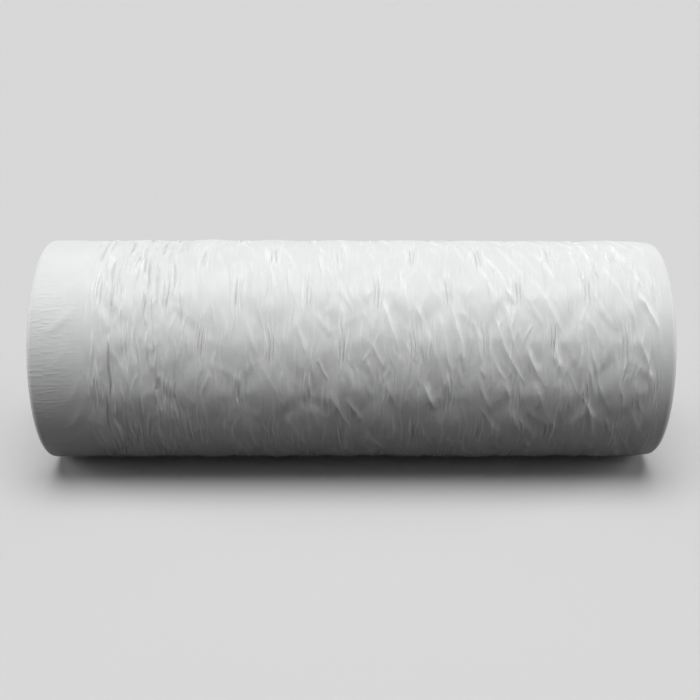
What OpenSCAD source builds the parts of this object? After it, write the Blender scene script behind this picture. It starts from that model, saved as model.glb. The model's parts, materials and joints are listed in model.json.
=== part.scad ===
// Roll of deflated air pillow film on a paper tube, lying on its side.
// Millimetres. X runs along the roll, Z is up, and the roll lies on z = 0.

/* [Film web] */
// Width of the film, which is the length of the roll
web_w = 400; // [300:5:500]
// Outer diameter over the last turn, halfway along
roll_d = 144; // [120:1:170]
// Growth in diameter from the plain edge's end to the channel's end
taper = 1.6; // [0:0.2:3]
// Width of the plain inflation channel at the left end
channel_w = 38; // [20:1:60]
// Width of the plain edge at the right end
edge_w = 16; // [8:1:30]

/* [Cushions] */
// Distance between two necks along the web's width
neck_pitch = 43.2; // [30:0.2:60]
// Shift of the middle neck from the middle of the web
neck_shift = -6; // [-20:1:20]
// Rows of cushions round the last turn
neck_rows = 14; // [8:2:20]
// Angle of the first row, from the underside towards the back
row_start = 11.7; // [0:0.1:25]
// Rise of a flattened cushion above its necks
cushion_h = 1.3; // [0.2:0.1:2]
// Steepness of the furrows that run slantwise from neck to neck
furrow_sharpness = 2.4; // [1:0.1:4]

/* [Last turn] */
// Height of the step where the film's free end lies on the roll
tail_h = 0.7; // [0.3:0.1:1.5]
// Angle of the free end, from the underside towards the back
tail_angle = 60; // [30:1:150]
// Radius of the soft shoulders at both ends
shoulder_r = 4; // [2:0.5:8]
// How far the plain edge droops at the right end
droop = 1.8; // [0:0.1:4]
// Width of the drooping edge
droop_w = 14; // [8:1:30]
// Width of the strip that the roll's weight has flattened
rest_w = 24; // [12:1:40]
// Height of the slow waves that soft winding leaves
sag_h = 0.25; // [0:0.05:0.6]
// Length of those waves along the roll
sag_w = 190; // [120:5:300]

/* [Turns at the ends] */
// Distance between the grooves that the wound turns leave at the ends
turn_pitch = 3.6; // [2.8:0.1:6]
// Width of a groove
groove_w = 1.2; // [0.5:0.1:1.6]
// Depth of a groove
groove_d = 1; // [0.3:0.1:2]

/* [Paper tube] */
// Bore of the tube, for the machine's spindle
core_bore_d = 50.8; // [30:0.1:80]
// Wall of the tube
core_wall = 4; // [2:0.5:8]
// How far the tube stands out at each end
core_proud = 1.5; // [0.5:0.5:5]
// Size of the bevel at the tube's cut edges
core_bevel = 0.4; // [0.2:0.1:1]

/* [Hidden] */

roll_r = roll_d / 2;
core_od = core_bore_d + 2 * core_wall;
core_len = web_w + 2 * core_proud;
// The flattened strip is a chord, so the axis lies this high.
axis_z = sqrt(pow(roll_r, 2) - pow(rest_w / 2, 2));

// The skin's facets line up with the necks, and these are about how many there are.
facets_round = 84;
facets_along = 52;

row_angle = 360 / neck_rows;
skin_angle = row_angle / round(facets_round / neck_rows);
// The step at the free end is this wide.
tail_step_angle = 0.4;
skin_angles = [
    for (i = [0 : 360 / skin_angle - 1])
        each i == round(tail_angle / skin_angle)
            ? [tail_angle - tail_step_angle, tail_angle]
            : [i * skin_angle]
];

station_w = neck_pitch / 2 / round(facets_along * neck_pitch / 2 / web_w);
mid_w = web_w - 2 * shoulder_r;
first_station = ceil((-mid_w / 2 - neck_shift) / station_w + 0.5);
last_station = floor((mid_w / 2 - neck_shift) / station_w - 0.5);
shoulder_turns = [0, 30, 60, 90];
stations = [
    for (t = shoulder_turns) -web_w / 2 + shoulder_r * (1 - cos(t)),
    for (n = [first_station : last_station]) neck_shift + n * station_w,
    for (i = [len(shoulder_turns) - 1 : -1 : 0])
        web_w / 2 - shoulder_r * (1 - cos(shoulder_turns[i]))
];

// 0 below lo, 1 above hi, and a smooth rise between them
function rise(x, lo, hi) =
    let (t = min(1, max(0, (x - lo) / (hi - lo)))) t * t * (3 - 2 * t);

// How much of the cushion pattern shows at a station
fade_w = 12;
function pattern(x) =
    rise(x, -web_w / 2 + channel_w - fade_w, -web_w / 2 + channel_w + fade_w)
    * (1 - rise(x, web_w / 2 - edge_w - fade_w, web_w / 2 - edge_w + fade_w / 2));

// A furrow's depth at the phase s of its family of furrows
function furrow(s) = exp(-pow(furrow_sharpness * sin(s / 2), 2));
function cushion(x, a) =
    let (
        along = 360 * (x - neck_shift) / neck_pitch,
        around = 180 * (a - row_start) / row_angle + 180
    )
    cushion_h * pattern(x)
    * (1 - 0.5 * furrow(along + around) - 0.5 * furrow(along - around));

function unevenness(x, a) =
    sag_h * (sin(360 * x / sag_w + 2 * a) + sin(180 * x / sag_w + 3 * a)) / 2;

function shoulder(x) =
    let (d = min(shoulder_r, web_w / 2 - abs(x)))
    shoulder_r - sqrt(pow(shoulder_r, 2) - pow(shoulder_r - d, 2));

// The film comes over the top and down the back, where it ends in a step.
function last_turn(a) =
    let (wound = a < tail_angle ? a - tail_angle + 360 : a - tail_angle)
    tail_h * (1 - wound / 360);

function skin_r(x, a) =
    roll_r - taper / 2 * x / web_w
    + last_turn(a) - tail_h / 2
    + unevenness(x, a)
    + cushion(x, a) - cushion_h / 2
    - droop * rise(x, web_w / 2 - droop_w, web_w / 2)
    - shoulder(x);

// The roll is drawn upright on the Z axis and then laid down.
module lay_down() {
    translate([0, 0, axis_z])
        rotate([0, 90, 0])
            children();
}

module film_skin() {
    rings = len(stations);
    sides = len(skin_angles);
    skin = [
        for (x = stations)
            for (a = skin_angles)
                let (r = skin_r(x, a)) [r * cos(a), r * sin(a), x]
    ];
    centres = [[0, 0, stations[0]], [0, 0, stations[rings - 1]]];
    walls = [
        for (i = [0 : rings - 2])
            for (j = [0 : sides - 1])
                let (
                    k = (j + 1) % sides,
                    a = i * sides + j,
                    b = i * sides + k,
                    c = a + sides,
                    d = b + sides
                )
                each [[a, c, b], [b, c, d]]
    ];
    ends = [
        for (j = [0 : sides - 1])
            let (k = (j + 1) % sides, top = (rings - 1) * sides)
            each [
                [rings * sides, j, k],
                [rings * sides + 1, top + k, top + j]
            ]
    ];
    polyhedron(points = concat(skin, centres), faces = concat(walls, ends));
}

// The groove between turns winds out from the tube, in half turns about two centres.
module turn_grooves() {
    first_r = core_od / 2 + turn_pitch / 2;
    last_r = roll_r - shoulder_r - droop - cushion_h - turn_pitch / 2;
    half_turns = floor(2 * (last_r - first_r) / turn_pitch);
    mirror([0, 1, 0])
        for (n = [0 : half_turns - 1])
            translate([n % 2 == 0 ? 0 : turn_pitch / 2, 0, -groove_d])
                rotate([0, 0, n % 2 == 0 ? 0 : 180])
                    rotate_extrude(angle = 180, $fn = 96)
                        translate([first_r + n * turn_pitch / 2, 0])
                            square([groove_w, 2 * groove_d]);
}

module film_roll() {
    color("whitesmoke")
        difference() {
            lay_down() film_skin();
            lay_down()
                cylinder(d = core_od, h = 2 * web_w, center = true, $fn = 128);
            lay_down()
                translate([0, 0, web_w / 2]) turn_grooves();
            lay_down()
                mirror([0, 0, 1])
                    translate([0, 0, web_w / 2]) turn_grooves();
            translate([-web_w, -roll_d, -roll_d])
                cube([2 * web_w, 2 * roll_d, roll_d]);
        }
}

module core_tube() {
    color("tan")
        lay_down()
            rotate_extrude($fn = 128)
                polygon([
                    [core_bore_d / 2 + core_bevel, -core_len / 2],
                    [core_od / 2 - core_bevel, -core_len / 2],
                    [core_od / 2, -core_len / 2 + core_bevel],
                    [core_od / 2, core_len / 2 - core_bevel],
                    [core_od / 2 - core_bevel, core_len / 2],
                    [core_bore_d / 2 + core_bevel, core_len / 2],
                    [core_bore_d / 2, core_len / 2 - core_bevel],
                    [core_bore_d / 2, -core_len / 2 + core_bevel]
                ]);
}

film_roll();
core_tube();
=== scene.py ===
# A roll of deflated air pillow film on a paper tube, lying on a pale studio floor.
# Metres throughout. X runs along the roll, Z is up, and the roll lies on z = 0.
# Angles round the roll start at its underside and go up its back: 90 back, 180 top, 270 front.

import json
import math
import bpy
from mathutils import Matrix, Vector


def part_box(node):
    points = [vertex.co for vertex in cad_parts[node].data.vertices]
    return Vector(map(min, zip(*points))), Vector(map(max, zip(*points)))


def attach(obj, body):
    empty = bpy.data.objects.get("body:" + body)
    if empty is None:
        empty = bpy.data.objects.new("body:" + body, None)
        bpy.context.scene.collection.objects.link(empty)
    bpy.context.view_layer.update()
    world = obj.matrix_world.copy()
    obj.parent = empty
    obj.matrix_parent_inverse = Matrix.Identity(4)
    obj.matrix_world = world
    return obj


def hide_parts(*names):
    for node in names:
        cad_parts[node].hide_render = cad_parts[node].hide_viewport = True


bl_info = {
    "name": "Air Pillow Film Roll",
    "version": (1, 0, 0),
    "blender": (4, 5, 0),
    "location": "3D View > Sidebar > Film Roll",
    "description": "Builds a roll of deflated air pillow film, its paper tube and a plain studio",
    "category": "Add Mesh",
}

import bpy
import numpy as np
from bpy.props import FloatProperty, FloatVectorProperty, IntProperty, PointerProperty
from mathutils import Vector

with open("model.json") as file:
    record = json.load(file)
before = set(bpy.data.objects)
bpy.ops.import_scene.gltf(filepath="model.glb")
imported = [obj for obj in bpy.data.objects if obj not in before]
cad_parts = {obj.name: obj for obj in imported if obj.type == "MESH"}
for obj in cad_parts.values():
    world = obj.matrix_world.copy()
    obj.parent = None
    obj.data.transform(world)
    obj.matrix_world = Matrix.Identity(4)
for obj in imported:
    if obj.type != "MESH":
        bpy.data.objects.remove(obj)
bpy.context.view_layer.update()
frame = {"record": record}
film_low, film_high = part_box("film_roll")
tube_low, tube_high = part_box("core_tube")
bore_mount = next(m for m in frame["record"]["mounts"] if m["name"] == "tube_bore")

AXIS_Z = bore_mount["pos_m"][2]
WEB_W = film_high.x - film_low.x
TUBE_LEN = tube_high.x - tube_low.x
TUBE_R = (tube_high.z - tube_low.z) / 2
BORE_R = bore_mount["dims"]["r_mm"] / 1000

TURN = 2 * math.pi
MM = 0.001


class FilmSettings(bpy.types.PropertyGroup):
    roll_r: FloatProperty(
        name="Roll radius", description="Outer radius over the last turn",
        default=0.072, unit="LENGTH",
    )
    taper: FloatProperty(
        name="Taper", description="Growth in radius towards the channel's end",
        default=0.0008, unit="LENGTH",
    )
    channel_w: FloatProperty(
        name="Channel", description="Width of the plain inflation channel",
        default=0.038, unit="LENGTH",
    )
    edge_w: FloatProperty(
        name="Plain edge", description="Width of the plain edge at the other end",
        default=0.016, unit="LENGTH",
    )
    neck_pitch: FloatProperty(
        name="Neck pitch", description="Distance between two necks in a row",
        default=0.0432, unit="LENGTH",
    )
    neck_shift: FloatProperty(
        name="Neck shift", description="Place of the middle neck along the roll",
        default=-0.006, unit="LENGTH",
    )
    neck_rows: IntProperty(name="Rows", description="Rows of necks round the last turn", default=14)
    first_row: FloatProperty(
        name="First row", description="Angle of the first row of necks",
        default=math.radians(11.7), unit="ROTATION",
    )
    cushion_h: FloatProperty(
        name="Cushion rise", description="Rise of a flattened cushion above its furrows",
        default=0.0012, unit="LENGTH",
    )
    tail_angle: FloatProperty(
        name="Free end", description="Angle at which the film's free end lies",
        default=math.radians(60), unit="ROTATION",
    )
    tail_h: FloatProperty(
        name="Step at the free end", description="Height of the free end's step",
        default=0.0007, unit="LENGTH",
    )
    shoulder_r: FloatProperty(
        name="Shoulder", description="Radius of the soft shoulders at both ends",
        default=0.004, unit="LENGTH",
    )
    droop: FloatProperty(
        name="Droop", description="How far the plain edge droops", default=0.0011, unit="LENGTH"
    )
    droop_w: FloatProperty(
        name="Droop width", description="Width of the drooping edge", default=0.014, unit="LENGTH"
    )
    seed: IntProperty(name="Seed", description="Seed of the creases' random places", default=7)
    colour: FloatVectorProperty(
        name="Film colour", description="Colour of the white film", subtype="COLOR", size=3,
        default=(0.86, 0.865, 0.87), min=0, max=1,
    )


class TubeSettings(bpy.types.PropertyGroup):
    plies: IntProperty(name="Plies", description="Paper plies that show at a cut end", default=5)
    seam_pitch: FloatProperty(
        name="Seam pitch", description="Advance of the spiral seam in one turn",
        default=0.085, unit="LENGTH",
    )
    colour: FloatVectorProperty(
        name="Paper colour", description="Colour of the brown paper", subtype="COLOR", size=3,
        default=(0.50, 0.37, 0.24), min=0, max=1,
    )


class StudioSettings(bpy.types.PropertyGroup):
    floor_colour: FloatVectorProperty(
        name="Floor", description="Colour of the floor", subtype="COLOR", size=3,
        default=(0.62, 0.62, 0.62), min=0, max=1,
    )
    camera_distance: FloatProperty(
        name="Camera distance", description="From the roll's axis", default=0.7805, unit="LENGTH"
    )
    camera_elevation: FloatProperty(
        name="Camera elevation", description="Angle above the horizon",
        default=math.radians(24), unit="ROTATION",
    )
    lens: FloatProperty(name="Lens", description="Focal length in millimetres", default=59.6)
    key: FloatProperty(name="Key", description="Strength of the overhead light", default=2.55)
    sides: FloatProperty(name="Sides", description="Strength of each light at the side", default=1.5)


# Mesh helpers

def only(obj):
    """Leaves obj alone selected and active, in object mode."""
    bpy.ops.object.select_all(action="DESELECT")
    obj.select_set(True)
    bpy.context.view_layer.objects.active = obj
    return obj


def named(name):
    """Names the object that was just added, and its mesh."""
    obj = bpy.context.object
    obj.name = name
    obj.data.name = name
    return obj


def settle(obj):
    """Writes obj's place and turn into its mesh."""
    only(obj)
    bpy.ops.object.transform_apply(location=True, rotation=True, scale=True)
    return obj


def pick_none(kind):
    """Deselects the whole mesh, with EDGE or FACE as the kind to be picked, and leaves edit mode."""
    bpy.ops.object.mode_set(mode="EDIT")
    bpy.ops.mesh.select_mode(type=kind)
    bpy.ops.mesh.select_all(action="DESELECT")
    bpy.ops.object.mode_set(mode="OBJECT")


def pick_edges(obj, wanted):
    """Selects, in edit mode, the edges whose two ends satisfy wanted."""
    pick_none("EDGE")
    verts = obj.data.vertices
    for edge in obj.data.edges:
        edge.select = wanted(*(verts[i].co for i in edge.vertices))
    bpy.ops.object.mode_set(mode="EDIT")


def pick_faces(obj, wanted):
    """Selects, in edit mode, the faces that satisfy wanted."""
    pick_none("FACE")
    for face in obj.data.polygons:
        face.select = wanted(face)
    bpy.ops.object.mode_set(mode="EDIT")


def points_of(obj):
    """The mesh's points as an array with a row for each."""
    flat = np.empty(3 * len(obj.data.vertices))
    obj.data.vertices.foreach_get("co", flat)
    return flat.reshape(-1, 3)


def set_attribute(obj, name, values):
    """Gives every point its value, for a material to read."""
    layer = obj.data.attributes.new(name, "FLOAT", "POINT")
    layer.data.foreach_set("value", values)


# Shape of the film

# Mesh steps round the roll, along it in two cuts, and across an end, and the sides of the tube
AROUND = 200
ALONG_IN_TWO_CUTS = (21, 19)
ALONG = math.prod(ALONG_IN_TWO_CUTS)
ACROSS_END = 48
TUBE_SIDES = 160
SECTION_R = film_high.z - AXIS_Z


def rise(x, low, high):
    """0 below low, 1 above high, and a smooth rise between them."""
    t = np.clip((x - low) / (high - low), 0, 1)
    return t * t * (3 - 2 * t)


def wound_section():
    """The section of the wound web, screwed once round the tube's axis into one closed skin."""
    depth = SECTION_R - TUBE_R
    bpy.ops.object.select_all(action="DESELECT")
    bpy.ops.mesh.primitive_plane_add(
        size=1, location=(0, 0, -TUBE_R - depth / 2), rotation=(math.pi / 2, 0, 0)
    )
    web = named("film_last_turn")
    web.scale = (WEB_W, depth, 1)
    settle(web)
    near = 0.1 * MM
    bpy.ops.object.mode_set(mode="EDIT")
    bpy.ops.mesh.select_all(action="SELECT")
    bpy.ops.mesh.delete(type="ONLY_FACE")
    pick_edges(web, lambda p, q: abs(p.x - q.x) < near)
    bpy.ops.mesh.subdivide(number_cuts=ACROSS_END - 1)
    for pieces in ALONG_IN_TWO_CUTS:
        pick_edges(web, lambda p, q: max(p.z, q.z) < near - SECTION_R)
        bpy.ops.mesh.subdivide(number_cuts=pieces - 1)
    bpy.ops.object.mode_set(mode="OBJECT")
    screw = web.modifiers.new("wind", "SCREW")
    screw.axis = "X"
    screw.angle = TURN
    screw.steps = screw.render_steps = AROUND
    screw.use_merge_vertices = True
    screw.merge_threshold = near
    only(web)
    bpy.ops.object.modifier_apply(modifier=screw.name)
    web.location.z = AXIS_Z
    settle(web)
    bpy.ops.object.mode_set(mode="EDIT")
    bpy.ops.mesh.select_all(action="SELECT")
    bpy.ops.mesh.normals_make_consistent(inside=False)
    bpy.ops.object.mode_set(mode="OBJECT")
    return web


def station_places():
    """Places along the web, close together where it is creased and at the shoulders."""
    film = bpy.context.scene.film_roll
    fine = np.linspace(-WEB_W / 2, WEB_W / 2, 4001)
    shoulder = np.abs(fine) > WEB_W / 2 - film.shoulder_r
    plain = fine < -WEB_W / 2 + film.channel_w - 12 * MM
    spacing = np.where(shoulder, 0.7 * MM, np.where(plain, 1.8 * MM, 0.9 * MM))
    share = np.concatenate([[0], np.cumsum(1 / spacing)])[:-1]
    return np.interp(np.linspace(0, share[-1], ALONG + 1), share, fine)


def angle_places(tail_angle):
    """Angles round the roll from the free end on. The last one lies right under its edge."""
    angles = tail_angle + TURN * np.arange(AROUND) / AROUND
    angles[-1] = tail_angle + TURN - math.radians(0.35)
    return angles


def waves(x, s, rng, count, shortest, longest):
    """Slow unevenness between about -1 and 1: a few waves in random directions."""
    total = np.zeros_like(x)
    for _ in range(count):
        heading = rng.uniform(0, math.pi)
        number = TURN / rng.uniform(shortest, longest)
        total += np.sin(number * (x * math.cos(heading) + s * math.sin(heading)) + rng.uniform(0, TURN))
    return total / math.sqrt(count)


class Relief:
    """A height for each place of the unrolled last turn, pressed up stroke by stroke."""

    def __init__(self, xs, ss):
        self.xs = xs
        self.ss = ss
        self.height = np.zeros((len(xs), len(ss)))

    def stroke(self, start, end, height, width, bend=0.0, lean=0.0):
        """A fold from start to end. lean makes one side steeper, from -1 to 1."""
        run = np.subtract(end, start)
        length = np.hypot(*run)
        along = run / length
        reach = abs(bend) + 3 * width
        low = np.minimum(start, end) - reach
        high = np.maximum(start, end) + reach
        i0, i1 = np.searchsorted(self.xs, [low[0], high[0]])
        j0, j1 = np.searchsorted(self.ss, [low[1], high[1]])
        if i0 == i1 or j0 == j1:
            return
        x = self.xs[i0:i1, None] - start[0]
        s = self.ss[None, j0:j1] - start[1]
        t = (x * along[0] + s * along[1]) / length
        inside = np.clip(t, 0, 1)
        off = s * along[0] - x * along[1] - 4 * bend * inside * (1 - inside)
        side = width * np.where(off > 0, 1 + lean, 1 - lean)
        past = np.maximum(0, np.abs(t - 0.5) - 0.5) * length
        taper = np.sin(math.pi * np.clip(t, 0.02, 0.98)) ** 0.6
        self.height[i0:i1, j0:j1] += height * taper * np.exp(-((off / side) ** 2) - (past / width) ** 2)


def necks(film):
    """Places of the necks on the unrolled web, row by row: (x, s) lists, staggered by half a pitch."""
    radius = film.roll_r
    rows = []
    columns = int(WEB_W / film.neck_pitch / 2) + 1
    for row in range(-1, film.neck_rows + 2):
        s = radius * (film.first_row + TURN * row / film.neck_rows - film.tail_angle)
        shift = film.neck_shift + (0 if row % 2 else film.neck_pitch / 2)
        places = [shift + n * film.neck_pitch for n in range(-columns, columns + 1)]
        rows.append([(x, s) for x in places])
    return rows


def creased(x, film):
    """How much of the creasing shows at x: none on the plain channel, fading over the plain edge."""
    left = -WEB_W / 2 + film.channel_w
    right = WEB_W / 2 - film.edge_w
    return rise(x, left - 8 * MM, left + 6 * MM) * (1 - rise(x, right, right + 9 * MM))


def last_turn_relief(xs, ss, film):
    """Heights of the cushions, gathers, folds and crumples, and the mask of the gathers."""
    rng = np.random.default_rng(film.seed)
    relief = Relief(xs, ss)
    mask = Relief(xs, ss)
    row_w = TURN * film.roll_r / film.neck_rows
    x = xs[:, None] + 0 * ss[None, :]
    s = ss[None, :] + 0 * xs[:, None]

    warp_x = x + 1.5 * MM * waves(x, s, rng, 6, 30 * MM, 90 * MM)
    warp_s = s + 2.5 * MM * waves(x, s, rng, 6, 30 * MM, 90 * MM)
    along = TURN * (warp_x - film.neck_shift) / film.neck_pitch
    first_s = film.roll_r * (film.first_row - film.tail_angle)
    around = math.pi * (warp_s - first_s) / row_w + math.pi
    steepness = 1.7
    furrow_depth = 0.75
    furrows = [np.exp(-(steepness * np.sin((along + way * around) / 2)) ** 2) for way in (-1, 1)]
    uneven = 1 + 0.35 * waves(x, s, rng, 6, 25 * MM, 60 * MM)
    relief.height += film.cushion_h * uneven * (0.5 - furrow_depth * np.maximum(*furrows))

    def jitter(spread):
        return rng.normal(0, spread)

    places = [[(px + jitter(0.8 * MM), ps + jitter(1.6 * MM)) for px, ps in row] for row in necks(film)]
    for above, row in zip(places[1:], places[:-1]):
        for px, ps in row:
            if not -WEB_W / 2 < px < WEB_W / 2:
                continue
            rightward = (px + WEB_W / 2) / WEB_W
            gathers(relief, mask, px, ps, rng)
            for qx, qs in above:
                if abs(qx - px) > 0.8 * film.neck_pitch:
                    continue
                leans_right = qx > px
                chance = 0.45 + 0.5 * rightward if leans_right else 0.75 - 0.6 * rightward
                if rng.random() < chance:
                    tension_fold(relief, (px, ps), (qx, qs), rng, 0.75 + 0.5 * rightward)
    crumples(relief, ss[-1], film, rng)
    show = creased(x, film)
    relief.height *= show
    plain_ripples(relief, ss[-1], film, rng)
    return relief.height, np.clip(mask.height, 0, 1) * show


def gathers(relief, mask, px, ps, rng):
    """The bundle of short creases that runs round the roll at a neck."""
    count = rng.integers(3, 7)
    gap = rng.uniform(1.9, 2.6) * MM
    for n in range(count):
        cx = px + (n - (count - 1) / 2) * gap + rng.normal(0, 0.3 * MM)
        half = rng.uniform(6.5, 12) * MM
        cs = ps + rng.normal(0, 2.2 * MM)
        tilt = rng.normal(0, 0.7 * MM) + (cx - px) * 0.15
        relief.stroke(
            (cx - tilt, cs - half), (cx + tilt, cs + half),
            rng.uniform(0.2, 0.42) * MM, rng.uniform(0.8, 1.1) * MM,
            bend=rng.normal(0, 0.5 * MM), lean=rng.uniform(-0.35, 0.35),
        )
    reach = 13 * MM
    mask.stroke((px, ps - reach), (px, ps + reach), 1.15, 3.2 * MM)


def tension_fold(relief, low, high, rng, strength):
    """A slanting fold or two from one neck's end to the next row's."""
    reach = 6 * MM
    for _ in range(rng.integers(1, 3)):
        start = (low[0] + rng.normal(0, 2.5 * MM), low[1] + reach + rng.normal(0, 2 * MM))
        end = (high[0] + rng.normal(0, 2.5 * MM), high[1] - reach + rng.normal(0, 2 * MM))
        keep = rng.uniform(0.55, 1.0)
        if rng.random() < 0.5:
            end = tuple(a + keep * (b - a) for a, b in zip(start, end))
        else:
            start = tuple(b + keep * (a - b) for a, b in zip(start, end))
        relief.stroke(
            start, end, strength * rng.uniform(0.15, 0.35) * MM, rng.uniform(1.1, 1.8) * MM,
            bend=rng.normal(0, 2 * MM), lean=rng.choice((-1, 1)) * rng.uniform(0.2, 0.6),
        )


def crumples(relief, round_s, film, rng):
    """Short creases all over, closest beside the channel, most of them running round the roll."""
    left = -WEB_W / 2 + film.channel_w
    right = WEB_W / 2 - film.edge_w
    dense_w = 52 * MM
    for low, high, spacing in ((left - 2 * MM, left + dense_w, 7 * MM), (left + dense_w, right, 11 * MM)):
        count = int((high - low) * round_s / spacing**2)
        for _ in range(count):
            cx = rng.uniform(low, high)
            cs = rng.uniform(0, round_s)
            heading = math.pi / 2 + rng.normal(0, 0.42)
            half = rng.uniform(2.5, 8) * MM
            step = (half * math.cos(heading), half * math.sin(heading))
            relief.stroke(
                (cx - step[0], cs - step[1]), (cx + step[0], cs + step[1]),
                rng.choice((-1, 1, 1)) * rng.uniform(0.1, 0.34) * MM, rng.uniform(0.9, 1.7) * MM,
                bend=rng.normal(0, 1 * MM), lean=rng.uniform(-0.5, 0.5),
            )


def plain_ripples(relief, round_s, film, rng):
    """Faint ripples and soft folds on the plain channel, and ripples round the plain edge."""
    left = -WEB_W / 2
    for s in np.arange(0, round_s, 4.5 * MM):
        start_x = left + rng.uniform(2, 5) * MM
        run = rng.uniform(3, 8) * MM
        relief.stroke(
            (start_x, s), (start_x + run, s + rng.normal(0, 1 * MM)),
            rng.uniform(0.05, 0.15) * MM, 1.5 * MM, bend=rng.normal(0, 0.5 * MM),
        )
    for s in np.arange(0, round_s, 21 * MM):
        start_x = left + film.channel_w + rng.uniform(-14, 3) * MM
        relief.stroke(
            (start_x, s), (start_x - rng.uniform(9, 19) * MM, s + rng.uniform(9, 20) * MM),
            rng.uniform(0.25, 0.6) * MM, 1.9 * MM, bend=rng.normal(0, 2 * MM), lean=0.3,
        )
    for s in np.arange(0, round_s, 13 * MM):
        cx = WEB_W / 2 - rng.uniform(5 * MM, film.edge_w)
        relief.stroke(
            (cx, s), (cx + rng.normal(0, 1 * MM), s + rng.uniform(6, 16) * MM),
            rng.uniform(0.05, 0.16) * MM, 1.1 * MM, bend=rng.normal(0, 0.6 * MM),
        )


def shoulder_drop(x, film):
    """How far the shoulders fall away towards the ends."""
    inside = np.minimum(film.shoulder_r, WEB_W / 2 - np.abs(x))
    return film.shoulder_r - np.sqrt(film.shoulder_r**2 - (film.shoulder_r - inside) ** 2)


def end_relief(radii, angles, rng):
    """How far the edges of the wound turns stand out at an end."""
    r = radii[:, None]
    round_it = angles[None, :]
    turn_pitch = 3.6 * MM
    swell_pitch = 6.1 * MM
    wound = TURN * r / turn_pitch + round_it
    steps = (0.3 + 0.14 * np.sin(0.43 * wound[:, :1])) * MM * np.sin(wound + rng.uniform(0, TURN))
    steps += 0.25 * MM * np.sin(TURN * r / swell_pitch + 0.5 * np.sin(round_it))
    for lobes in (5, 9, 17, 31):
        steps += 0.06 * MM * np.sin(lobes * round_it + rng.uniform(0, TURN) + 400 * r)
    return steps


def shape_film(web):
    """Moves every point of the screwed section to its place on the creased roll."""
    film = bpy.context.scene.film_roll
    points = points_of(web)
    xs = station_places()
    angles = angle_places(film.tail_angle)
    radius = np.hypot(points[:, 1], points[:, 2] - AXIS_Z)
    turn = np.mod(np.arctan2(points[:, 1], AXIS_Z - points[:, 2]), TURN)
    row = np.mod(np.rint(turn * AROUND / TURN).astype(int), AROUND)
    column = np.rint((points[:, 0] / WEB_W + 0.5) * ALONG).astype(int)
    in_end = radius < SECTION_R - 0.1 * MM
    layer = np.rint((SECTION_R - radius) / (SECTION_R - TUBE_R) * ACROSS_END).astype(int)

    ss = film.roll_r * (angles - film.tail_angle)
    heights, mask = last_turn_relief(xs, ss, film)
    x = xs[:, None]
    a = angles[None, :]
    rng = np.random.default_rng(film.seed + 1)
    slack_h = 0.2 * MM
    skin = (
        film.roll_r - film.taper * x / WEB_W
        + film.tail_h * (0.5 - (a - film.tail_angle) / TURN)
        + slack_h * waves(x + 0 * a, film.roll_r * a + 0 * x, rng, 6, 90 * MM, 220 * MM)
        + heights
        - film.droop * rise(x, WEB_W / 2 - film.droop_w, WEB_W / 2)
        - shoulder_drop(x, film)
    )
    new_x = xs[column]
    new_r = skin[column, row]
    depth = layer / ACROSS_END
    radii = np.linspace(SECTION_R, TUBE_R, ACROSS_END + 1)
    between = rise(radii, TUBE_R, TUBE_R + 2 * MM) * (1 - rise(radii, SECTION_R - 3 * MM, SECTION_R))
    for side, rim in ((-1, 0), (1, ALONG)):
        here = in_end & (np.sign(points[:, 0]) == side)
        rim_r = skin[rim, row[here]]
        new_r[here] = rim_r + (TUBE_R - rim_r) * depth[here]
        out = end_relief(radii, angles, rng) * between[:, None]
        new_x[here] = side * (WEB_W / 2 + out[layer[here], row[here]])
    angle = angles[row]
    z = AXIS_Z - new_r * np.cos(angle)
    placed = np.stack([new_x, new_r * np.sin(angle), np.maximum(z, 0)], axis=1)
    web.data.vertices.foreach_set("co", placed.ravel())
    web.data.update()

    unrolled_x = np.where(in_end, np.sign(points[:, 0]) * (WEB_W / 2 + SECTION_R - radius), new_x)
    unroll(web, unrolled_x, ss[row], row)
    set_attribute(web, "gather", np.where(in_end, 0, mask[column, row]))
    set_attribute(web, "wound_end", in_end.astype(float))


def unroll(web, along, around, row):
    """A UV map in metres of the unrolled film. It is cut at the free end."""
    film = bpy.context.scene.film_roll
    corners = np.empty(len(web.data.loops), int)
    web.data.loops.foreach_get("vertex_index", corners)
    face_of = np.empty(len(corners), int)
    for face in web.data.polygons:
        face_of[face.loop_start : face.loop_start + face.loop_total] = face.index
    last = np.zeros(len(web.data.polygons), bool)
    last[face_of[row[corners] == AROUND - 1]] = True
    across_cut = last[face_of] & (row[corners] == 0)
    v = around[corners] + np.where(across_cut, TURN * film.roll_r, 0)
    uv = web.data.uv_layers.new(name="unrolled")
    uv.data.foreach_set("uv", np.stack([along[corners], v], axis=1).ravel())


# Materials

# Share of the floor's colour that bounced light sees, and the faint glow of the air round the roll
BOUNCED_SHARE = 0.05
AIR_GLOW = (0.005, 0.005, 0.005)


def new_material(name):
    """A material with its Principled shader."""
    material = bpy.data.materials.new(name)
    material.use_nodes = True
    tree = material.node_tree
    tree.nodes.clear()
    output = tree.nodes.new("ShaderNodeOutputMaterial")
    shader = tree.nodes.new("ShaderNodeBsdfPrincipled")
    tree.links.new(shader.outputs["BSDF"], output.inputs["Surface"])
    return material, tree, shader


def linked(tree, kind, inputs, **settings):
    """A node with its settings, and each input given a value or a link."""
    node = tree.nodes.new(kind)
    for key, value in settings.items():
        setattr(node, key, value)
    for key, value in inputs.items():
        if isinstance(value, bpy.types.NodeSocket):
            tree.links.new(value, node.inputs[key])
        else:
            node.inputs[key].default_value = value
    return node


def math_node(tree, operation, *values):
    node = linked(tree, "ShaderNodeMath", dict(enumerate(values)), operation=operation)
    return node.outputs[0]


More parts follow.
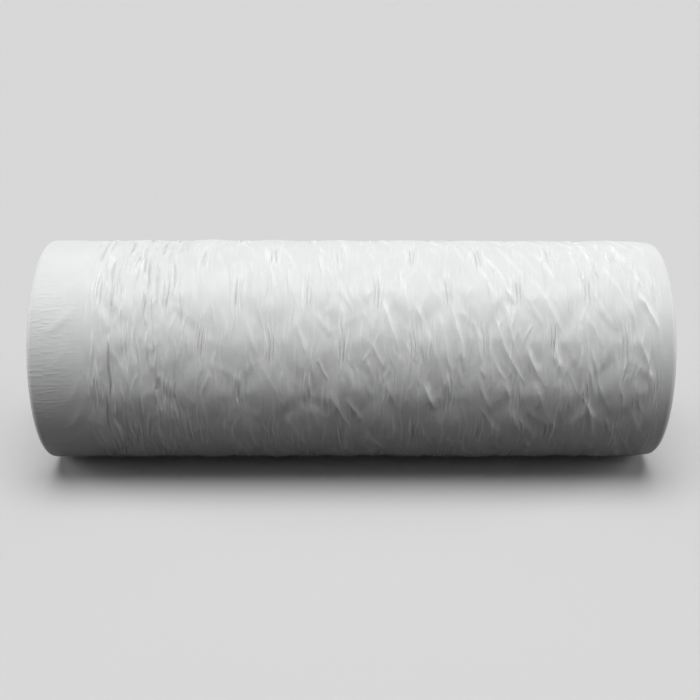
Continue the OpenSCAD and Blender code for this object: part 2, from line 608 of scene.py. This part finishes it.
def noise(tree, vector, scale, detail=2.0, roughness=0.5):
    inputs = {"Vector": vector, "Scale": scale, "Detail": detail, "Roughness": roughness}
    return linked(tree, "ShaderNodeTexNoise", inputs).outputs["Fac"]


def stretched(tree, vector, scale):
    return linked(tree, "ShaderNodeMapping", {"Vector": vector, "Scale": scale}).outputs["Vector"]


def ramp(tree, value, *stops):
    """A colour ramp with (place, colour) stops."""
    node = linked(tree, "ShaderNodeValToRGB", {"Fac": value})
    elements = node.color_ramp.elements
    while len(elements) < len(stops):
        elements.new(0.5)
    for element, (place, colour) in zip(elements, stops):
        element.position = place
        element.color = (*colour, 1)
    return node.outputs["Color"]


def spread(tree, value, low, high, to_low, to_high):
    node = linked(
        tree, "ShaderNodeMapRange",
        {"Value": value, "From Min": low, "From Max": high, "To Min": to_low, "To Max": to_high},
    )
    return node.outputs["Result"]


def mixed_colours(tree, factor, first, second):
    """The first colour where the factor is 0, and the second where it is 1."""
    node = linked(
        tree, "ShaderNodeMix", {"Factor": factor, "A": first, "B": second}, data_type="RGBA"
    )
    return node.outputs["Result"]


def seen_or_bounced(tree, seen_colour, bounced_colour):
    """One colour for what is seen straight, mirrored or through the film, another for bounced light."""
    path = linked(tree, "ShaderNodeLightPath", {}).outputs
    seen = math_node(tree, "MAXIMUM", path["Is Camera Ray"], path["Is Glossy Ray"])
    seen = math_node(tree, "MAXIMUM", seen, path["Is Transmission Ray"])
    return mixed_colours(tree, seen, (*bounced_colour, 1), (*seen_colour, 1))


def bump(tree, height, distance, strength=1.0, normal=None):
    inputs = {"Height": height, "Distance": distance, "Strength": strength}
    if normal is not None:
        inputs["Normal"] = normal
    return linked(tree, "ShaderNodeBump", inputs).outputs["Normal"]


def pleats(tree, x, pitch, waver):
    """Sharp parallel ridges across x, a pitch apart. waver bends them."""
    phase = math_node(tree, "ADD", math_node(tree, "MULTIPLY", x, math.pi / pitch), waver)
    dip = math_node(tree, "ABSOLUTE", math_node(tree, "SINE", phase))
    return math_node(tree, "POWER", math_node(tree, "SUBTRACT", 1.0, dip), 1.5)


def creases(tree, uv, across, along, heading, scatter, bend, width, lowest):
    """Sharp creases, one in each cell of a scattered pattern, with heights from lowest to 1.

    A cell is across wide and along long, and its crease runs along it. heading turns the whole
    pattern, scatter is the most that a crease leans from it, and bend is the most that it bows.
    Each pattern is shifted by its own heading and lowest height, so that no two coincide.
    """
    inputs = {
        "Vector": uv, "Location": (heading, lowest, 0),
        "Rotation": (0, 0, heading), "Scale": (across, along, 1),
    }
    place = linked(tree, "ShaderNodeMapping", inputs, vector_type="TEXTURE").outputs["Vector"]
    cell = linked(tree, "ShaderNodeTexVoronoi", {"Vector": place, "Scale": 1.0}, voronoi_dimensions="2D")
    edge = linked(
        tree, "ShaderNodeTexVoronoi", {"Vector": place, "Scale": 1.0},
        voronoi_dimensions="2D", feature="DISTANCE_TO_EDGE",
    )
    chance = linked(tree, "ShaderNodeSeparateColor", {"Color": cell.outputs["Color"]}).outputs
    local = linked(
        tree, "ShaderNodeVectorMath", {0: place, 1: cell.outputs["Position"]}, operation="SUBTRACT"
    ).outputs["Vector"]
    local = linked(tree, "ShaderNodeSeparateXYZ", {"Vector": local}).outputs
    run = math_node(tree, "MULTIPLY", local["Y"], along / across)
    lean = math_node(tree, "MULTIPLY", run, spread(tree, chance["Red"], 0, 1, -scatter, scatter))
    most = bend / across
    bow = math_node(tree, "MULTIPLY", local["Y"], local["Y"])
    bow = math_node(tree, "MULTIPLY", bow, spread(tree, chance["Green"], 0, 1, -most, most))
    off = math_node(tree, "ABSOLUTE", math_node(tree, "ADD", local["X"], math_node(tree, "ADD", lean, bow)))
    crest = math_node(tree, "POWER", spread(tree, off, 0, width / across, 1, 0), 1.6)
    fade = spread(tree, edge.outputs["Distance"], 0.0, 0.24, 0, 1)
    height = spread(tree, chance["Blue"], 0, 1, lowest, 1)
    return math_node(tree, "MULTIPLY", math_node(tree, "MULTIPLY", crest, fade), height)


def summed(tree, *terms):
    """The sum of each height times its amount and its shares."""
    total = 0.0
    for height, *shares in terms:
        for share in shares:
            height = math_node(tree, "MULTIPLY", height, share)
        total = math_node(tree, "ADD", total, height)
    return total


def film_material():
    """White film: a waxy satin skin, slightly translucent, with sharp creases along and round the roll, and
    a painted highlight along the creases.
    """
    film = bpy.context.scene.film_roll
    material, tree, shader = new_material("air_pillow_film")
    uv = linked(tree, "ShaderNodeUVMap", {}, uv_map="unrolled").outputs["UV"]
    place = linked(tree, "ShaderNodeTexCoord", {}).outputs["Object"]
    gather = linked(tree, "ShaderNodeAttribute", {}, attribute_name="gather").outputs["Fac"]
    wound_end = linked(tree, "ShaderNodeAttribute", {}, attribute_name="wound_end").outputs["Fac"]
    x = linked(tree, "ShaderNodeSeparateXYZ", {"Vector": uv}).outputs["X"]

    smear = noise(tree, stretched(tree, uv, (90, 30, 1)), 1.0, detail=3.0)
    tree.links.new(spread(tree, smear, 0.3, 0.7, 0.42, 0.56), shader.inputs["Roughness"])

    channel_end = -WEB_W / 2 + film.channel_w
    edge_start = WEB_W / 2 - film.edge_w
    creased_left = spread(tree, x, channel_end - 4 * MM, channel_end + 6 * MM, 0, 1)
    creased_part = math_node(
        tree, "MULTIPLY", creased_left, spread(tree, x, edge_start, edge_start + 8 * MM, 1, 0)
    )
    near_left_end = spread(tree, x, -WEB_W / 2 + 10 * MM, channel_end, 1, 0.1)
    dense = spread(tree, x, channel_end + 25 * MM, channel_end + 75 * MM, 1, 0.3)
    rightward = spread(tree, x, -60 * MM, 90 * MM, 0.3, 1)
    patchy = spread(tree, noise(tree, place, 26.0, detail=1.0), 0.38, 0.62, 0.25, 1.15)

    warp = noise(tree, stretched(tree, uv, (70, 40, 1)), 1.0, detail=1.0)
    sideways = math_node(tree, "MULTIPLY", warp, 4 * MM)
    aside = linked(tree, "ShaderNodeCombineXYZ", {"X": sideways}).outputs[0]
    warped = linked(tree, "ShaderNodeVectorMath", {0: uv, 1: aside}, operation="ADD").outputs["Vector"]
    waver = math_node(tree, "MULTIPLY", noise(tree, stretched(tree, uv, (60, 25, 1)), 1.0, detail=1.0), 9.0)
    pleat = pleats(tree, x, 2.5 * MM, waver)
    upright = creases(
        tree, warped, across=5 * MM, along=28 * MM, heading=0.0, scatter=0.08,
        bend=1.5 * MM, width=1.5 * MM, lowest=0.0,
    )
    slanting = creases(
        tree, warped, across=11 * MM, along=34 * MM, heading=-0.3, scatter=0.2,
        bend=7 * MM, width=3.6 * MM, lowest=0.0,
    )
    crumple = creases(
        tree, warped, across=7 * MM, along=14 * MM, heading=0.05, scatter=0.45,
        bend=4 * MM, width=2.4 * MM, lowest=-0.4,
    )
    ripple = creases(
        tree, warped, across=3.2 * MM, along=9 * MM, heading=1.5, scatter=0.12,
        bend=1.5 * MM, width=1.6 * MM, lowest=0.0,
    )
    parts = linked(tree, "ShaderNodeSeparateXYZ", {"Vector": place}).outputs
    height_above_axis = math_node(tree, "SUBTRACT", parts["Z"], AXIS_Z)
    radius = math_node(
        tree, "SQRT",
        math_node(
            tree, "ADD",
            math_node(tree, "POWER", parts["Y"], 2.0), math_node(tree, "POWER", height_above_axis, 2.0),
        ),
    )
    turns = linked(
        tree, "ShaderNodeCombineXYZ",
        {
            "X": math_node(tree, "MULTIPLY", radius, 2400.0),
            "Y": math_node(tree, "MULTIPLY", parts["Y"], 30.0),
            "Z": math_node(tree, "MULTIPLY", parts["Z"], 30.0),
        },
    ).outputs["Vector"]
    # Each height comes with the places where it shows, and with its amount.
    folds = summed(
        tree,
        (pleat, gather, 0.9 * MM),
        (upright, dense, creased_part, 1.75 * MM),
        (slanting, rightward, creased_part, patchy, 1.6 * MM),
        (crumple, creased_part, 0.36 * MM),
    )
    height = summed(
        tree,
        (folds,),
        (ripple, near_left_end, 0.12 * MM),
        (noise(tree, place, 420.0, detail=3.0), 0.07 * MM),
        (noise(tree, turns, 1.0, detail=2.0), wound_end, 0.7 * MM),
    )
    tree.links.new(bump(tree, height, 1.0), shader.inputs["Normal"])
    # Painted highlight: the film's colour is painted lighter along the folds and the necks' pleats, where
    # their ridges catch the light. The cloud adds random tone.
    cloud = noise(tree, place, 38.0, detail=4.0, roughness=0.6)
    painted_highlight_and_tone = summed(
        tree,
        (spread(tree, folds, 0, 0.8 * MM, 0, 0.8),),
        (spread(tree, cloud, 0.3, 0.7, 0, 0.25),),
        (pleat, gather, 1.7),
    )
    dull = [c * 0.86 for c in film.colour]
    lightest = [c * 1.1 for c in film.colour]
    tree.links.new(ramp(tree, painted_highlight_and_tone, (0.0, dull), (1.0, lightest)), shader.inputs["Base Color"])

    shader.inputs["Specular IOR Level"].default_value = 0.4
    shader.inputs["IOR"].default_value = 1.5
    shader.inputs["Subsurface Weight"].default_value = 0.15
    shader.inputs["Subsurface Radius"].default_value = (1.0, 1.0, 1.0)
    shader.inputs["Subsurface Scale"].default_value = 1.2 * MM
    return material


def paper_material():
    """Brown spiral-wound paper: fibres and a spiral seam."""
    tube = bpy.context.scene.paper_tube
    material, tree, shader = new_material("brown_paper")
    place = linked(tree, "ShaderNodeTexCoord", {}).outputs["Object"]
    parts = linked(tree, "ShaderNodeSeparateXYZ", {"Vector": place}).outputs
    height = math_node(tree, "SUBTRACT", parts["Z"], AXIS_Z)
    turn = math_node(tree, "DIVIDE", math_node(tree, "ARCTAN2", parts["Y"], height), TURN)
    advance = math_node(tree, "DIVIDE", parts["X"], tube.seam_pitch)
    phase = math_node(tree, "FRACT", math_node(tree, "ADD", turn, advance))
    from_seam = math_node(tree, "ABSOLUTE", math_node(tree, "SUBTRACT", phase, 0.5))
    seam = linked(
        tree, "ShaderNodeMapRange",
        {"Value": from_seam, "From Min": 0.0, "From Max": 0.012, "To Min": 0.0, "To Max": 1.0},
        interpolation_type="SMOOTHSTEP",
    ).outputs["Result"]
    fibre = noise(tree, stretched(tree, place, (200, 700, 700)), 1.0, detail=4.0, roughness=0.65)
    fleck = noise(tree, place, 420.0, detail=3.0, roughness=0.7)
    mixed = summed(tree, (fibre, 0.6), (fleck, 0.4))
    light = [c * 1.12 for c in tube.colour]
    dark = [c * 0.84 for c in tube.colour]
    paper = ramp(tree, mixed, (0.33, dark), (0.5, tuple(tube.colour)), (0.68, light))
    shade = (*[c * 0.4 for c in tube.colour], 1)
    shaded = mixed_colours(tree, spread(tree, seam, 0, 1, 0.55, 0.0), paper, shade)
    tree.links.new(shaded, shader.inputs["Base Color"])
    normal = bump(tree, seam, 0.25 * MM, 0.8)
    normal = bump(tree, mixed, 0.12 * MM, 0.6, normal)
    tree.links.new(normal, shader.inputs["Normal"])
    shader.inputs["Roughness"].default_value = 0.85
    shader.inputs["Specular IOR Level"].default_value = 0.3
    return material


def floor_material(studio):
    """Pale where it is seen and dark to bounced light, so that the roll keeps its shading."""
    material, tree, shader = new_material("studio_floor")
    bounced = [c * BOUNCED_SHARE for c in studio.floor_colour]
    tree.links.new(seen_or_bounced(tree, studio.floor_colour, bounced), shader.inputs["Base Color"])
    shader.inputs["Roughness"].default_value = 0.9
    shader.inputs["Specular IOR Level"].default_value = 0.1
    return material


# Operators

# The camera aims a little left of the roll's middle and a little under its axis.
AIM_SHIFT = Vector((-1.2, 0, -1.0)) * MM


class ROLL_OT_add_film(bpy.types.Operator):
    """Adds the wound web of film with its creased last turn"""

    bl_idname = "film_roll.add_film"
    bl_label = "Add Film"

    def execute(self, context):
        web = wound_section()
        shape_film(web)
        only(web)
        bpy.ops.object.shade_smooth()
        web.data.materials.append(film_material())
        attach(web, "root")
        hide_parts("film_roll")
        return {"FINISHED"}


class ROLL_OT_add_tube(bpy.types.Operator):
    """Adds the paper tube with the plies that show at its cut ends"""

    bl_idname = "film_roll.add_tube"
    bl_label = "Add Paper Tube"

    def execute(self, context):
        settings = context.scene.paper_tube
        bpy.ops.object.select_all(action="DESELECT")
        bpy.ops.mesh.primitive_cylinder_add(
            vertices=TUBE_SIDES, radius=TUBE_R, depth=TUBE_LEN,
            location=(0, 0, AXIS_Z), rotation=(0, math.pi / 2, 0),
        )
        tube = settle(named("paper_tube"))
        pick_faces(tube, lambda face: abs(face.normal.x) > 0.9)
        ply = (TUBE_R - BORE_R) / settings.plies
        glue_line = 0.12 * MM
        for n in range(settings.plies):
            bpy.ops.mesh.inset(thickness=ply - glue_line)
            last = n == settings.plies - 1
            bpy.ops.mesh.inset(thickness=glue_line, depth=0 if last else (-0.2 if n % 2 else 0.2) * MM)
        bpy.ops.mesh.delete(type="FACE")
        bpy.ops.object.mode_set(mode="OBJECT")
        bore_edge = BORE_R + 0.05 * MM
        pick_edges(tube, lambda *ends: all(math.hypot(v.y, v.z - AXIS_Z) < bore_edge for v in ends))
        bpy.ops.mesh.bridge_edge_loops()
        bpy.ops.mesh.select_all(action="SELECT")
        bpy.ops.mesh.normals_make_consistent(inside=False)
        bpy.ops.object.mode_set(mode="OBJECT")
        only(tube)
        bpy.ops.object.shade_smooth_by_angle(angle=math.radians(40))
        tube.data.materials.append(paper_material())
        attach(tube, "root")
        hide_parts("core_tube")
        return {"FINISHED"}


class ROLL_OT_add_studio(bpy.types.Operator):
    """Adds the floor, the soft lights and the camera"""

    bl_idname = "film_roll.add_studio"
    bl_label = "Add Studio"

    def execute(self, context):
        studio = context.scene.film_studio
        bpy.ops.object.select_all(action="DESELECT")
        floor_w = 14
        bpy.ops.mesh.primitive_plane_add(size=floor_w)
        floor = named("studio_floor")
        floor.data.materials.append(floor_material(studio))

        add_soft_light("overhead_light", (0, -0.1, 1), 45, studio.key)
        add_soft_light("left_light", (-1, 0, 0.3), 50, studio.sides)
        add_soft_light("right_light", (1, 0, 0.3), 50, studio.sides)

        world = bpy.data.worlds.new("studio_air")
        context.scene.world = world
        world.use_nodes = True
        tree = world.node_tree
        air = seen_or_bounced(tree, studio.floor_colour, AIR_GLOW)
        tree.links.new(air, tree.nodes["Background"].inputs["Color"])

        elevation = studio.camera_elevation
        back = Vector((0, -math.cos(elevation), math.sin(elevation)))
        aim = Vector((0, 0, AXIS_Z)) + AIM_SHIFT
        bpy.ops.object.camera_add(location=aim + back * studio.camera_distance)
        camera = context.object
        camera.name = "photo_camera"
        camera.rotation_euler = (-back).to_track_quat("-Z", "Y").to_euler()
        camera.data.lens = studio.lens
        camera.data.sensor_width = 36
        context.scene.camera = camera
        context.scene.view_settings.view_transform = "Standard"
        return {"FINISHED"}


def add_soft_light(name, towards, breadth, strength):
    """A distant soft light that shines from the side given, and fills that many degrees of the sky."""
    bpy.ops.object.light_add(type="SUN", rotation=Vector(towards).to_track_quat("Z", "Y").to_euler())
    light = bpy.context.object
    light.name = name
    light.data.angle = math.radians(breadth)
    light.data.energy = strength


class ROLL_PT_panel(bpy.types.Panel):
    """Lists the steps that build the roll"""

    bl_label = "Film Roll"
    bl_idname = "ROLL_PT_panel"
    bl_space_type = "VIEW_3D"
    bl_region_type = "UI"
    bl_category = "Film Roll"

    def draw(self, context):
        for operator in OPERATORS:
            self.layout.operator(operator.bl_idname)
        for group in (context.scene.film_roll, context.scene.paper_tube, context.scene.film_studio):
            box = self.layout.box()
            for name in group.__annotations__:
                box.prop(group, name)


OPERATORS = (ROLL_OT_add_film, ROLL_OT_add_tube, ROLL_OT_add_studio)
CLASSES = (FilmSettings, TubeSettings, StudioSettings, *OPERATORS, ROLL_PT_panel)


def register():
    for cls in CLASSES:
        bpy.utils.register_class(cls)
    bpy.types.Scene.film_roll = PointerProperty(type=FilmSettings)
    bpy.types.Scene.paper_tube = PointerProperty(type=TubeSettings)
    bpy.types.Scene.film_studio = PointerProperty(type=StudioSettings)


def unregister():
    del bpy.types.Scene.film_studio
    del bpy.types.Scene.paper_tube
    del bpy.types.Scene.film_roll
    for cls in reversed(CLASSES):
        bpy.utils.unregister_class(cls)


def main():
    register()
    bpy.ops.film_roll.add_film()
    bpy.ops.film_roll.add_tube()
    bpy.ops.film_roll.add_studio()


if __name__ == "__main__":
    main()
